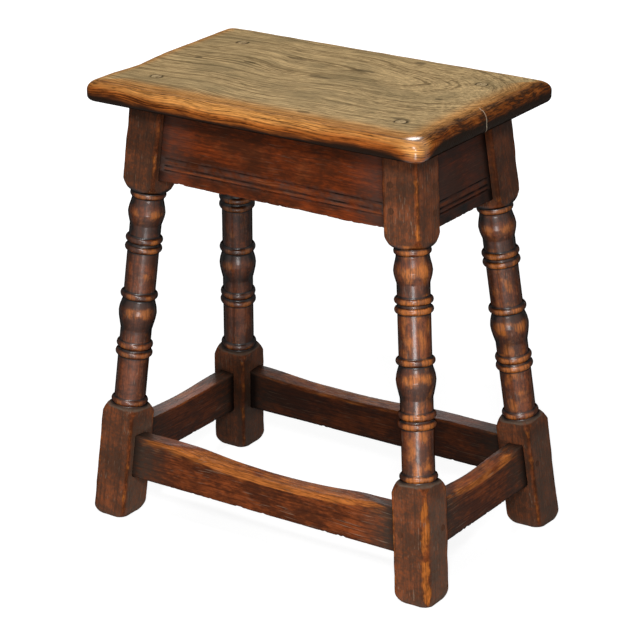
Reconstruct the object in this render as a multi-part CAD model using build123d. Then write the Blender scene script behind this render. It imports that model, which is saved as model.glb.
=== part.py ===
"""Joined oak stool: four splayed turned legs, frieze rails, stretchers, pegs and a seat board.

Millimetres, +Z up, front towards -Y. The origin is on the floor under the middle of the stool.
Every piece is a solid of its own, cut to the joints that hold it to its neighbours.
"""
import math
import os

from build123d import *

# ---------------------------------------------------------------- whole frame
# Half the spacing of the leg axes under the seat, and how much wider they stand on the
# floor; the first figure is along the stool (X), the second from front to back (Y).
FRAME_HEIGHT = 520.0
HEAD_HALF_SPACING = (173.0, 75.3)
SPLAY = (45.3, 48.3)

# ---------------------------------------------------------------- seat board
SEAT_LENGTH = 458.0
SEAT_DEPTH = 285.0
SEAT_THICKNESS = 24.0
SEAT_CORNER_RADIUS = 13.0
SEAT_TOP_ROUND = 11.0
SEAT_UNDER_CHAMFER = 5.5

# ---------------------------------------------------------------- leg stock
LEG_STOCK = 46.0
LEG_ARRIS_CHAMFER = 2.0
UPPER_BLOCK = 94.5
LOWER_BLOCK_OVER_STRETCHER = 13.0
FOOT_CORNER_CHAMFER = 4.0
FOOT_EDGE_EASE = 2.5
FOOT_EDGE_ANGLE = 30.0

# ---------------------------------------------------------------- rails
# The end rails of the frieze are deeper, and no two stretchers stand at the same height.
FRIEZE_HEIGHT = {"front": 97.0, "right": 102.0, "back": 97.0, "left": 102.0}
FRIEZE_THICKNESS = 22.0
FRIEZE_SETBACK = 9.0
STRETCHER_BOTTOM = {"front": 53.5, "right": 57.5, "back": 58.0, "left": 56.0}
STRETCHER_HEIGHT = 53.0
STRETCHER_THICKNESS = 21.0
STRETCHER_SETBACK = 10.0
RAIL_ARRIS_CHAMFER = 0.8

# Run moulding on the frieze: distances up from the lower edge, on the outer face.
MOULDING_STOP = 6.0
MOULDING_LOW_QUIRK = 14.5
MOULDING_MID_QUIRK = 19.8
MOULDING_HIGH_QUIRK = 29.0
MOULDING_QUIRK_WIDTH = 1.2
MOULDING_DEPTH = 1.8
MOULDING_BEAD_RELIEF = 0.3

# Hollow worn in the top of each stretcher: depth at the inner and outer arris, the half
# length over which the deeper side is worn, and how far its middle lies along the rail.
STRETCHER_WEAR = {
    "front": {"inner": 6.5, "outer": 13.0, "reach": 165.0, "shift": 15.0},
    "right": {"inner": 2.5, "outer": 8.0, "reach": 84.0, "shift": 0.0},
    "back": {"inner": 7.0, "outer": 4.5, "reach": 150.0, "shift": 45.0},
    "left": {"inner": 3.0, "outer": 2.0, "reach": 78.0, "shift": 0.0},
}

# ---------------------------------------------------------------- joints
TENON_THICKNESS = 8.0
TENON_CHEEK = 16.0
TENON_LENGTH = 20.0
FRIEZE_TENON_BELOW_HEAD = 30.0
FRIEZE_TENON_ABOVE_EDGE = 9.5
STRETCHER_TENON_SHOULDER = 6.0
MORTISE_CLEARANCE = 0.2

# A riven peg is faceted, and its hole is drawn with the same section, as it beds in the oak.
PEG_DIAMETER = 8.0
PEG_SIDES = 8
PEG_LENGTH = 28.0
PEG_TIP_CHAMFER = 1.0
PEG_FROM_OUTER_FACE = 35.0
PEG_CLEARANCE = 0.1
FRIEZE_PEGS_OVER_EDGE = {"upper": 53.0, "lower": 24.0}

SEAT_PEG_DIAMETER = 12.0
SEAT_PEG_SIDES = 16
SEAT_PEG_OFF_AXIS = (-6.1, 7.8)
SEAT_PEG_IN_LEG = 25.0

# ---------------------------------------------------------------- turned profile of a leg
# Radius, and height over the lower block, of each corner of the profile, going up the leg.
# The heights are drawn for a turning of TURNING_DRAWN and stretched to the leg's own. It is
# turned in flats, three to a ring and three to a bulb, to keep each leg's mesh light.
TURNING_DRAWN = 301.5
BLOCK_CLEAR_RADIUS = 34.0
COLUMN_RADIUS = 18.2
RING_HALF_HEIGHT = 3.7
RING_CREST_HALF = 1.2


def ring(radius, height, below, above):
    """Corners of a turned ring: quirk, two edges of the crest, quirk."""
    return [
        (below, height - RING_HALF_HEIGHT),
        (radius, height - RING_CREST_HALF),
        (radius, height + RING_CREST_HALF),
        (above, height + RING_HALF_HEIGHT),
    ]


LOWER_SHOULDER = [(BLOCK_CLEAR_RADIUS, 0.0), (28.2, 9.6)]
FOOT_RING = ring(22.2, 20.6, below=20.4, above=19.2)
LOWER_COLUMN = [(COLUMN_RADIUS, 28.0), (COLUMN_RADIUS, 76.5)]
MIDDLE_RINGS = ring(22.3, 81.2, below=18.9, above=18.9) + ring(21.9, 91.9, 18.9, 19.2)
LOWER_BULB = [(18.3, 106.0), (22.7, 126.5), (22.7, 136.0), (19.6, 147.0)]
COLLAR = ring(22.5, 153.5, below=19.6, above=19.0)
UPPER_COLUMN = [(COLUMN_RADIUS, 161.0), (COLUMN_RADIUS, 206.5)]
UPPER_RINGS = ring(22.3, 211.5, below=18.9, above=18.9) + ring(22.3, 222.4, 18.9, 19.8)
UPPER_BULB = [(17.5, 233.0), (22.2, 250.5), (22.2, 258.5), (19.1, 270.5)]
NECK_RING = ring(21.5, 277.3, below=19.1, above=20.4)
UPPER_SHOULDER = [(27.2, 285.6), (BLOCK_CLEAR_RADIUS, TURNING_DRAWN)]
LEG_PROFILE = [
    *LOWER_SHOULDER, *FOOT_RING, *LOWER_COLUMN, *MIDDLE_RINGS, *LOWER_BULB, *COLLAR,
    *UPPER_COLUMN, *UPPER_RINGS, *UPPER_BULB, *NECK_RING, *UPPER_SHOULDER,
]

# ---------------------------------------------------------------- worked out from the above
HALF_STOCK = LEG_STOCK / 2
FOOT_HALF_SPACING = tuple(head + splay for head, splay in zip(HEAD_HALF_SPACING, SPLAY))
SEAT_PEG_HALF_SPACING = tuple(sum(pair) for pair in zip(HEAD_HALF_SPACING, SEAT_PEG_OFF_AXIS))
SLOPE = tuple(splay / FRAME_HEIGHT for splay in SPLAY)
UP_LEG = math.sqrt(1 + SLOPE[0] ** 2 + SLOPE[1] ** 2)
LOWER_BLOCK = max(STRETCHER_BOTTOM.values()) + STRETCHER_HEIGHT + LOWER_BLOCK_OVER_STRETCHER
TURNING_STRETCH = (FRAME_HEIGHT - UPPER_BLOCK - LOWER_BLOCK) / TURNING_DRAWN
BEYOND = 2 * FRAME_HEIGHT

CORNERS = {
    "front_left": (-1, -1),
    "front_right": (1, -1),
    "back_left": (-1, 1),
    "back_right": (1, 1),
}
OUTWARD = {
    "front": Vector(0, -1, 0),
    "right": Vector(1, 0, 0),
    "back": Vector(0, 1, 0),
    "left": Vector(-1, 0, 0),
}
# The slab of space between the floor and the underside of the seat.
FRAME_SPACE = Pos(0, 0, FRAME_HEIGHT / 2) * Box(2 * BEYOND, 2 * BEYOND, FRAME_HEIGHT)


# ---------------------------------------------------------------- places
def leg_location(corner):
    """Foot of the leg's axis: local X faces outward along the stool, local Z runs up the leg."""
    sign_x, sign_y = corner
    up = Vector(-sign_x * SLOPE[0], -sign_y * SLOPE[1], 1).normalized()
    along = Vector(sign_x, 0, 0)
    face = (along - up * along.dot(up)).normalized()
    foot = Vector(sign_x * FOOT_HALF_SPACING[0], sign_y * FOOT_HALF_SPACING[1], 0)
    return Plane(origin=foot, x_dir=face, z_dir=up).location


def outer_y(corner):
    """Which way the leg's local Y has to be read to face outward."""
    return corner[0] * corner[1]


def rail_location(side):
    """Middle of a side at seat level: local X along the rail, Y up its face, Z outward."""
    outward = OUTWARD[side]
    axis = 0 if abs(outward.X) > abs(outward.Y) else 1
    splay = math.atan(SLOPE[axis])
    normal = outward * math.cos(splay) + Vector(0, 0, math.sin(splay))
    origin = outward * HEAD_HALF_SPACING[axis] + Vector(0, 0, FRAME_HEIGHT)
    along = Vector(0, 0, 1).cross(outward)
    return Plane(origin=origin, x_dir=along, z_dir=normal).location


def splay_of(side):
    """Lean of a side's rails, in radians."""
    return math.atan(SLOPE[0 if side in ("left", "right") else 1])


def up_face(side, height, outward):
    """Local Y of the point of a rail at a height above the floor, at an outward offset."""
    splay = splay_of(side)
    return (height - FRAME_HEIGHT - outward * math.sin(splay)) / math.cos(splay)


def corners_of(side):
    """The two legs that a side's rails join, by the name of the end that each one is at."""
    if side in ("front", "back"):
        return {end: CORNERS[f"{side}_{end}"] for end in ("left", "right")}
    return {end: CORNERS[f"{end}_{side}"] for end in ("front", "back")}


def span(low_x, high_x, low_y, high_y, low_z, high_z):
    """A box between stated limits."""
    size = Box(high_x - low_x, high_y - low_y, high_z - low_z)
    return Pos((low_x + high_x) / 2, (low_y + high_y) / 2, (low_z + high_z) / 2) * size


def inside_of_leg(side, corner, depth):
    """Space on the rail's side of a leg, reaching a depth into the leg past its inner face."""
    limit = -HALF_STOCK + depth
    if side in ("front", "back"):
        space = span(-BEYOND, limit, -BEYOND, BEYOND, -BEYOND, BEYOND)
    elif outer_y(corner) > 0:
        space = span(-BEYOND, BEYOND, -BEYOND, limit, -BEYOND, BEYOND)
    else:
        space = span(-BEYOND, BEYOND, -limit, BEYOND, -BEYOND, BEYOND)
    return leg_location(corner) * space


def between_legs(side, depth):
    """Space between a side's two legs, reaching a depth into each of them."""
    first, second = corners_of(side).values()
    return inside_of_leg(side, first, depth) & inside_of_leg(side, second, depth)


# ---------------------------------------------------------------- tenons and pegs
def tenon_limits(side, kind):
    """Lower and upper edge of a rail's tenons, as local Y."""
    if kind == "frieze":
        low = frieze_edge(side) + FRIEZE_TENON_ABOVE_EDGE
        return low, -FRIEZE_TENON_BELOW_HEAD
    low = up_face(side, STRETCHER_BOTTOM[side], HALF_STOCK - STRETCHER_SETBACK)
    return low + STRETCHER_TENON_SHOULDER, low + STRETCHER_HEIGHT - STRETCHER_TENON_SHOULDER


def tenon_bar(side, kind, clearance=0.0):
    """A bar through both legs with the section of the rail's tenons."""
    low, high = tenon_limits(side, kind)
    outer = HALF_STOCK - TENON_CHEEK
    inner = outer - TENON_THICKNESS
    bar = span(-BEYOND, BEYOND, low - clearance, high + clearance,
               inner - clearance, outer + clearance)
    return rail_location(side) * bar


def peg_location(side, corner, height):
    """Mouth of a peg hole on the leg's outer face: local Z runs into the leg."""
    from_axis = HALF_STOCK - PEG_FROM_OUTER_FACE
    turn = outer_y(corner)
    up = height * UP_LEG
    if side in ("front", "back"):
        mouth = Plane(origin=(from_axis, turn * HALF_STOCK, up), x_dir=(1, 0, 0),
                      z_dir=(0, -turn, 0))
    else:
        mouth = Plane(origin=(HALF_STOCK, turn * from_axis, up), x_dir=(0, 1, 0),
                      z_dir=(-1, 0, 0))
    return leg_location(corner) * mouth.location


def peg(side, corner, height):
    """Riven peg, faceted, with an eased tip; its head is flush with the leg."""
    body = extrude(RegularPolygon(PEG_DIAMETER / 2, PEG_SIDES), PEG_LENGTH)
    body = chamfer(body.faces().sort_by(Axis.Z)[-1].edges(), PEG_TIP_CHAMFER)
    return peg_location(side, corner, height) * body


def peg_hole(side, corner, height):
    """The blind hole that a peg is driven into."""
    depth = PEG_LENGTH + PEG_CLEARANCE
    hole = extrude(RegularPolygon(PEG_DIAMETER / 2 + PEG_CLEARANCE, PEG_SIDES), depth, both=True)
    return peg_location(side, corner, height) * hole


def peg_heights(side, kind):
    """Heights above the floor of the pegs through one tenon, by the name of each."""
    if kind == "frieze":
        edge = FRAME_HEIGHT - FRIEZE_HEIGHT[side]
        return {level: edge + over for level, over in FRIEZE_PEGS_OVER_EDGE.items()}
    return {"": STRETCHER_BOTTOM[side] + STRETCHER_HEIGHT / 2}


def seat_peg_axis(corner):
    """Where a seat peg enters the leg head."""
    return Pos(corner[0] * SEAT_PEG_HALF_SPACING[0], corner[1] * SEAT_PEG_HALF_SPACING[1],
               FRAME_HEIGHT)


def seat_peg(corner, clearance=0.0):
    """Peg from the seat's top down into the leg, or its hole when given a clearance."""
    deep = SEAT_PEG_IN_LEG + clearance
    section = RegularPolygon(SEAT_PEG_DIAMETER / 2 + clearance, SEAT_PEG_SIDES)
    body = extrude(section, SEAT_THICKNESS + deep)
    return seat_peg_axis(corner) * Pos(0, 0, -deep) * body


# ---------------------------------------------------------------- legs
def turned_envelope():
    """Solid of revolution that the square stock is turned down to."""
    turned = [(radius, LOWER_BLOCK + height * TURNING_STRETCH) for radius, height in LEG_PROFILE]
    top = FRAME_HEIGHT + LEG_STOCK
    ends = [(BLOCK_CLEAR_RADIUS, top), (0.0, top), (0.0, -LEG_STOCK),
            (BLOCK_CLEAR_RADIUS, -LEG_STOCK)]
    points = [(radius, 0, height * UP_LEG) for radius, height in turned + ends]
    return revolve(make_face(Polyline(*points, close=True)), Axis.Z)


def leg_blank():
    """One leg on its own axis, before it is cut to height and mortised."""
    length = FRAME_HEIGHT + 2 * LEG_STOCK
    section = Rectangle(LEG_STOCK, LEG_STOCK)
    section = chamfer(section.vertices(), LEG_ARRIS_CHAMFER)
    return (Pos(0, 0, -LEG_STOCK) * extrude(section, length)) & turned_envelope()


def foot_easing(corner):
    """Flared envelope that takes the sharpness off the end of a foot and rounds its corners."""
    flat = LEG_STOCK - 2 * FOOT_EDGE_EASE
    sole = chamfer(Rectangle(flat, flat).vertices(), FOOT_CORNER_CHAMFER)
    flare = extrude(sole, FRAME_HEIGHT, taper=-FOOT_EDGE_ANGLE)
    sign_x, sign_y = corner
    return Pos(sign_x * FOOT_HALF_SPACING[0], sign_y * FOOT_HALF_SPACING[1], 0) * flare


def leg(blank, corner):
    """A leg cut level at both ends, with its mortises and peg holes."""
    body = (leg_location(corner) * blank) & FRAME_SPACE & foot_easing(corner)
    for side in OUTWARD:
        if corner not in corners_of(side).values():
            continue
        for kind in ("frieze", "stretcher"):
            depth = TENON_LENGTH + MORTISE_CLEARANCE
            slot = tenon_bar(side, kind, MORTISE_CLEARANCE) & inside_of_leg(side, corner, depth)
            body -= slot
            for height in peg_heights(side, kind).values():
                body -= peg_hole(side, corner, height)
    return body - seat_peg(corner, PEG_CLEARANCE)


# ---------------------------------------------------------------- rails
def finish_rail(body, side, kind):
    """Trim a rail to its shoulders, add the tenons and bore them for their pegs."""
    body = (rail_location(side) * body) & between_legs(side, 0.0) & FRAME_SPACE
    body += tenon_bar(side, kind) & between_legs(side, TENON_LENGTH)
    for corner in corners_of(side).values():
        for height in peg_heights(side, kind).values():
            body -= peg_hole(side, corner, height)
    return body


def frieze_edge(side):
    """Local Y of a frieze rail's lower edge."""
    return up_face(side, FRAME_HEIGHT - FRIEZE_HEIGHT[side], HALF_STOCK - FRIEZE_SETBACK)


def moulding_waste(side, outer):
    """What a scratch stock takes off the rail's face: a wide and a narrow bead in quirks."""
    low = frieze_edge(side)
    bed = outer - MOULDING_DEPTH
    crest = outer - MOULDING_BEAD_RELIEF
    first, middle, last = [low + up for up in
                           (MOULDING_LOW_QUIRK, MOULDING_MID_QUIRK, MOULDING_HIGH_QUIRK)]
    start = (first - MOULDING_QUIRK_WIDTH / 2, outer)
    end = (last + MOULDING_QUIRK_WIDTH / 2, outer)
    section = make_face([
        Line(start, (first, bed)),
        ThreePointArc((first, bed), ((first + middle) / 2, crest), (middle, bed)),
        ThreePointArc((middle, bed), ((middle + last) / 2, crest), (last, bed)),
        Line((last, bed), end),
        Line(end, start),
    ])
    waste = rail_location(side) * extrude(Plane.YZ * section, BEYOND, both=True)
    return waste & between_legs(side, -MOULDING_STOP)


def frieze_rail(side):
    """Rail under the seat, with a run moulding stopped short of the legs."""
    outer = HALF_STOCK - FRIEZE_SETBACK
    low = frieze_edge(side)
    body = span(-BEYOND, BEYOND, low, BEYOND, outer - FRIEZE_THICKNESS, outer)
    body = finish_rail(ease_lower_arrises(body), side, "frieze")
    return body - moulding_waste(side, outer)


def ease_lower_arrises(body):
    """Knock the sharpness off the lower arrises of a rail."""
    lower = body.faces().sort_by(Axis.Y)[0].edges().filter_by(Axis.X)
    return chamfer(lower, RAIL_ARRIS_CHAMFER)


def foot_wear(side, outer, inner, top):
    """Large cylinder that hollows the top of a stretcher, leaning to its more worn arris."""
    wear = STRETCHER_WEAR[side]
    deepest = max(wear["inner"], wear["outer"])
    radius = (wear["reach"] ** 2 + deepest ** 2) / (2 * deepest)
    lean = math.atan2(wear["outer"] - wear["inner"], outer - inner)
    low = top - (wear["inner"] + wear["outer"]) / 2
    centre = (wear["shift"], low + radius * math.cos(lean), (outer + inner) / 2
              + radius * math.sin(lean))
    axis = (0, -math.sin(lean), math.cos(lean))
    place = Plane(origin=centre, x_dir=(1, 0, 0), z_dir=axis).location
    return place * Cylinder(radius, 4 * STRETCHER_THICKNESS)


def stretcher(side):
    """Low rail, its top hollowed by feet."""
    outer = HALF_STOCK - STRETCHER_SETBACK
    inner = outer - STRETCHER_THICKNESS
    low = up_face(side, STRETCHER_BOTTOM[side], outer)
    top = low + STRETCHER_HEIGHT
    body = ease_lower_arrises(span(-BEYOND, BEYOND, low, top, inner, outer))
    body = finish_rail(body, side, "stretcher")
    return body - rail_location(side) * foot_wear(side, outer, inner, top)


# ---------------------------------------------------------------- seat
def seat_board():
    """Plank with rounded corners and edges, bored for its four pegs."""
    board = extrude(RectangleRounded(SEAT_LENGTH, SEAT_DEPTH, SEAT_CORNER_RADIUS), SEAT_THICKNESS)
    board = fillet(board.faces().sort_by(Axis.Z)[-1].edges(), SEAT_TOP_ROUND)
    board = chamfer(board.faces().sort_by(Axis.Z)[0].edges(), SEAT_UNDER_CHAMFER)
    board = Pos(0, 0, FRAME_HEIGHT) * board
    for corner in CORNERS.values():
        board -= seat_peg(corner, PEG_CLEARANCE)
    return board


# ---------------------------------------------------------------- all the pieces
def build_pieces():
    """Every piece of the stool by its node name."""
    pieces = {"seat_board": seat_board()}
    blank = leg_blank()
    for name, corner in CORNERS.items():
        pieces[f"leg_{name}"] = leg(blank, corner)
        pieces[f"seat_peg_{name}"] = seat_peg(corner)
    for side in OUTWARD:
        pieces[f"frieze_rail_{side}"] = frieze_rail(side)
        pieces[f"stretcher_{side}"] = stretcher(side)
        for end, corner in corners_of(side).items():
            for kind in ("frieze", "stretcher"):
                for level, height in peg_heights(side, kind).items():
                    name = f"{kind}_peg_{side}_{end}_{level}".rstrip("_")
                    pieces[name] = peg(side, corner, height)
    return pieces


os.makedirs("parts", exist_ok=True)
for node, piece in build_pieces().items():
    solids = piece.solids()
    print(f"{node}: {len(solids)} solid, {sum(solid.volume for solid in solids):.0f} mm3")
    export_step(solids[0], f"parts/{node}.step")
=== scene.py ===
import math
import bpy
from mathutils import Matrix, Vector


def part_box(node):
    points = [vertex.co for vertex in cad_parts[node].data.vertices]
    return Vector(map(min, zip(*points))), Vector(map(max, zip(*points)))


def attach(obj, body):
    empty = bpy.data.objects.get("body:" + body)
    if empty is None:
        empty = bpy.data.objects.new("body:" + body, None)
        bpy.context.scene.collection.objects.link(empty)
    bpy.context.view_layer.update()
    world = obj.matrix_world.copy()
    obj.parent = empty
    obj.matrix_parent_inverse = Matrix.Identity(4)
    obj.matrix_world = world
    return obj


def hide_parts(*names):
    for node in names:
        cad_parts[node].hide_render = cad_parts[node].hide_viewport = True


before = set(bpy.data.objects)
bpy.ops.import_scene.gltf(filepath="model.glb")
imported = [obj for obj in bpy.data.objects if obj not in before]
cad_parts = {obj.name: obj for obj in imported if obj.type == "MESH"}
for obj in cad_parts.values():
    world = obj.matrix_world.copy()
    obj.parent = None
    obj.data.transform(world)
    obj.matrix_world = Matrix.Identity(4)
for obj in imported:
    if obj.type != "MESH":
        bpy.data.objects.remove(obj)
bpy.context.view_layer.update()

from types import SimpleNamespace

import bpy
import numpy as np
from mathutils import Matrix, Vector

# A joined oak stool. The seat, the legs and the rails are meshes worked out from formulas, each
# in the place of its CAD node. The pegs keep their CAD meshes and get an oak of their own.

MM = 0.001

# ---------------------------------------------------------------- sizes of the seat, in metres
SEAT_LOW, SEAT_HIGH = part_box("seat_board")
FRAME_HEIGHT = SEAT_LOW.z
SEAT_TOP = SEAT_HIGH.z
SEAT_HALF = np.array([SEAT_HIGH.x, SEAT_HIGH.y])
SEAT_CORNER = 13 * MM
PEG_LOW, PEG_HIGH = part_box("seat_peg_back_right")
SEAT_PEG = np.array([PEG_LOW.x + PEG_HIGH.x, PEG_LOW.y + PEG_HIGH.y]) / 2
PEG_RADIUS = 6.0 * MM

# Places along X and Y: where the left end is worn low, where the front right corner is polished
# by hands, and where that corner's edge stays golden farther down.
WORN_END = (-SEAT_HALF[0], -50 * MM)
POLISHED_CORNER = (218 * MM, -132 * MM)
GOLDEN_CORNER = (226 * MM, -140 * MM)

# The split in the seat's right end: a groove through a place, and a pale hairline by its side
# where HAIRLINE_SLOPE * X + Y is HAIRLINE_OFFSET, both from SPLIT_START to the end.
SPLIT_AT = (213.7 * MM, -4 * MM)
SPLIT_SLOPE = 0.62
SPLIT_START = 210 * MM
HAIRLINE_OFFSET = 141.8 * MM
HAIRLINE_SLOPE = 0.64

# Rounding of the seat's upper and lower edge: how far inward, and how far down or up, in
# millimetres.
EDGE_OVER = (13.0, 10.7)
EDGE_UNDER = (6.5, 6.5)

# Dark smudges on the seat's top: place along X and Y, then half length and half width, in
# millimetres.
SMUDGES = [
    (57, -108, 14, 7), (63, 119, 16, 8), (157, 9, 9, 6), (-173, 5, 9, 7), (160, -75, 20, 7),
    (-111, 19, 16, 6), (-7, 12, 22, 6), (172, -83, 9, 9), (-70, 60, 30, 7), (20, 60, 26, 6),
]

# ---------------------------------------------------------------- sizes of the legs
# Leg axes, in metres: half their spacing under the seat and on the floor, along X and along Y.
HEAD = np.array([173.0, 75.3]) * MM
FOOT = np.array([218.3, 123.6]) * MM
SLOPE = (FOOT - HEAD) / FRAME_HEIGHT
UP_LEG = math.sqrt(1 + SLOPE @ SLOPE)
HALF_STOCK = 23.0 * MM

# Turned profile of a leg: (height above the floor, radius), then its rings as
# (height, crest radius, half height), its necks and bulb undersides that are painted darker,
# partly as painted shade, as (height, width), and the radii that the rings stand on and the
# bulbs stay within, all in millimetres.
PROFILE = [
    (118, 37), (124.5, 33.6), (129, 31.2), (134, 28.4), (137.5, 25.6), (139.8, 21.6),
    (141, 20.2), (148.3, 19.4), (150, 18.6), (153, 18.2), (198, 18.2), (201, 18.9),
    (220, 18.9), (224, 18.2), (229, 18.1), (233, 18.5), (236, 19.1), (240, 20.1),
    (245, 21.2), (250, 22.2), (256, 22.8), (262, 22.0), (267, 20.6), (271, 19.3),
    (281.5, 19.0), (284, 18.2), (306, 18.0), (328, 18.2), (331.5, 18.9), (350.5, 19.0),
    (352, 18.2), (356, 17.4), (360, 17.7), (363.5, 18.5), (368.5, 20.0), (373.5, 21.4),
    (379, 22.2), (385, 21.3), (390.5, 19.9), (394.5, 19.0), (398, 19.0), (405, 20.2),
    (406.2, 23.0), (409, 26.4), (414, 29.4), (420, 32.0), (425, 33.6), (432, 37),
]
RINGS = [
    (144.6, 22.0, 3.7), (205.2, 22.2, 3.9), (215.9, 21.8, 3.9), (277.5, 22.4, 4.1),
    (335.5, 22.2, 3.9), (346.4, 22.2, 3.9), (401.3, 21.4, 3.5),
]
NECKS = [(239, 14), (361, 13), (270, 9), (393, 8)]
RING_ROOT = 18.9
BULB_LIMIT = 22.9
PROFILE_TOP = 520
PROFILE_STEP = 0.1

# Wear of a leg's surface, in millimetres: how far a block's arris is rounded, and how much more
# where it is flattened; how high, how far in and how round the foot wears; what is off the
# blocks, off the middle of their faces and off the turning; and the height of the groove over
# the lower block, where dust lies.
ARRIS_EASE = 2.9
ARRIS_FLATTENED = 3.6
FOOT_HEIGHT = 11
FOOT_INSET = 3.8
FOOT_EASE = 9.0
BLOCK_WORN = 0.17
FACE_HOLLOW = 0.18
TURNING_WORN = 0.12
DUSTY_GROOVE = 139.0

# Points of a leg: rows up it, points around it, and how far those crowd to the arrises. Its
# figure is LEG_GRAIN_SHORTER times as short along the grain as a rail's.
LEG_ROWS = 470
LEG_AROUND = 160
ARRIS_CROWDING = 0.15
LEG_GRAIN_SHORTER = 2.6

CORNERS = {
    "front_left": (-1, -1), "front_right": (1, -1), "back_left": (-1, 1), "back_right": (1, 1),
}

# How far a leg's turning shows bare oak, how much painted shade darkens its upper block, its
# turning and its lower block, how far its arrises are rubbed, and whether one is worn flat near
# the floor.
LEG_TONES = {
    "front_left": dict(bare=0.10, shade_above=0.32, shade_turning=0.22, shade_below=0.08,
                       rubbed=0.42, flattened=0.0),
    "front_right": dict(bare=0.42, shade_above=0.0, shade_turning=0.05, shade_below=0.05,
                        rubbed=0.50, flattened=1.0),
    "back_left": dict(bare=0.12, shade_above=0.50, shade_turning=0.38, shade_below=0.58,
                      rubbed=0.25, flattened=0.0),
    "back_right": dict(bare=0.32, shade_above=0.50, shade_turning=0.14, shade_below=0.38,
                       rubbed=0.42, flattened=0.0),
}
# Way, from +X, toward which the turning is painted lit, with its opposite; its sides are painted in
# shade, and its rubbed crests lie beside that way.
LIT_AND_RUBBED_SIDE = math.radians(-52)
# Where the pith lies across the section of a leg, a frieze rail and a stretcher.
LEG_PITH = (45 * MM, 30 * MM)
FRIEZE_PITH = (150 * MM, -35 * MM)
STRETCHER_PITH = (120 * MM, -30 * MM)

# ---------------------------------------------------------------- sizes of the rails, in metres
OUTWARD = {"front": (0, -1), "right": (1, 0), "back": (0, 1), "left": (-1, 0)}
RAIL_STEP = 1.5 * MM

# Frieze rails: outer face from the leg axis, thickness, lower edge above the floor.
FRIEZE_FACE = 14.0 * MM
FRIEZE_THICKNESS = 22.0 * MM
FRIEZE_EDGE = {"front": 423.0 * MM, "right": 418.0 * MM, "back": 423.0 * MM, "left": 418.0 * MM}
FRIEZE_EASE = 1.7 * MM

# Run moulding of a frieze rail: its quirks above the lower edge, how far its beads lie below
# the face and how much deeper the quirks are, how a bead rounds off, and the quirks' outer slope.
QUIRKS = (14.5 * MM, 19.8 * MM, 29.0 * MM)
BEAD_DEPTH = 0.3 * MM
QUIRK_DEPTH = 1.5 * MM
BEAD_ROUNDNESS = 2.4
QUIRK_SLOPE = 0.9 * MM

# Stretchers: outer face from the leg axis, thickness, own height, lower edge above the floor.
STRETCHER_FACE = 13.0 * MM
STRETCHER_THICKNESS = 21.0 * MM
STRETCHER_HEIGHT = 53.0 * MM
STRETCHER_EDGE = {"front": 53.5 * MM, "right": 57.5 * MM, "back": 58.0 * MM, "left": 56.0 * MM}
STRETCHER_EASE = 1.3 * MM

# Tenons: offsets of both cheeks from the leg axis, length, and how far they start in the rail.
TENON_CHEEKS = (-1.0 * MM, 7.0 * MM)
TENON_LENGTH = 20.0 * MM
TENON_ROOT = -2.0 * MM
FRIEZE_TENON = (9.5 * MM, -30.0 * MM)
STRETCHER_TENON = (6.0 * MM, 41.0 * MM)

# Hollow worn in each stretcher's top: depth at the inner and outer arris, reach and shift
# along the rail, in millimetres.
FOOT_WEAR = {
    "front": (6.5, 13.0, 165.0, 15.0),
    "right": (2.5, 8.0, 84.0, 0.0),
    "back": (7.0, 4.5, 150.0, 45.0),
    "left": (3.0, 2.0, 78.0, 0.0),
}
# How far each stretcher is rubbed bare, and how much painted shade darkens its faces, and its top
# less.
STRETCHER_TONES = {
    "front": (1.0, 0.0), "right": (0.56, 0.34), "back": (0.80, 0.60), "left": (0.50, 0.48),
}


# ---------------------------------------------------------------- small numeric helpers
def unit(vector):
    vector = np.asarray(vector, float)
    return vector / np.linalg.norm(vector)


def smooth(low, high, value):
    """0 up to low, 1 from high on, eased between; low may be the larger."""
    t = np.clip((value - low) / (high - low), 0, 1)
    return t * t * (3 - 2 * t)


def between(low, full_low, full_high, high, value):
    """1 from full_low to full_high, eased to 0 at low and at high."""
    return smooth(low, full_low, value) * smooth(high, full_high, value)


def soft_min(first, second, blend):
    """The lesser of two values, with the crease between them rounded off."""
    share = np.clip(0.5 + 0.5 * (second - first) / blend, 0, 1)
    return second + (first - second) * share - blend * share * (1 - share)


def hump(value, centre, width):
    return np.exp(-2 * ((value - centre) / width) ** 2)


def waves(seed, size, count=10):
    """A smooth random field over points, about -1 to 1, that varies over about a size."""
    rng = np.random.default_rng(seed)
    ways = rng.normal(size=(count, 3))
    ways *= 2 * np.pi / size * rng.uniform(0.5, 1.6, (count, 1)) / np.linalg.norm(
        ways, axis=1, keepdims=True)
    phases = rng.uniform(0, 2 * np.pi, count)
    return lambda points: np.sin(points @ ways.T + phases).sum(-1) * 0.9 / math.sqrt(count)


broad = waves(3, 70 * MM)
middling = waves(5, 22 * MM)
fine = waves(8, 7 * MM, 14)


def unevenness(points):
    """The broad, the middling and the fine field at some points."""
    return broad(points), middling(points), fine(points)


# ---------------------------------------------------------------- meshes
def tube_faces(rows, around):
    """Quads between rings of points, and fans that close the first and last ring."""
    low = (np.arange(rows - 1) * around)[:, None]
    here = np.arange(around)[None, :]
    after = (here + 1) % around
    quads = np.stack([low + here, low + after, low + around + after, low + around + here], -1)
    first_middle, last_middle, top = rows * around, rows * around + 1, (rows - 1) * around
    fans = [[first_middle, (i + 1) % around, i] for i in range(around)]
    fans += [[last_middle, top + i, top + (i + 1) % around] for i in range(around)]
    return quads.reshape(-1, 4).tolist() + fans


def with_middles(rings):
    """Rings of values as one list, followed by the mean of the first and of the last ring."""
    flat = rings.reshape(-1, *rings.shape[2:])
    return np.concatenate([flat, [rings[0].mean(0)], [rings[-1].mean(0)]])


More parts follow.
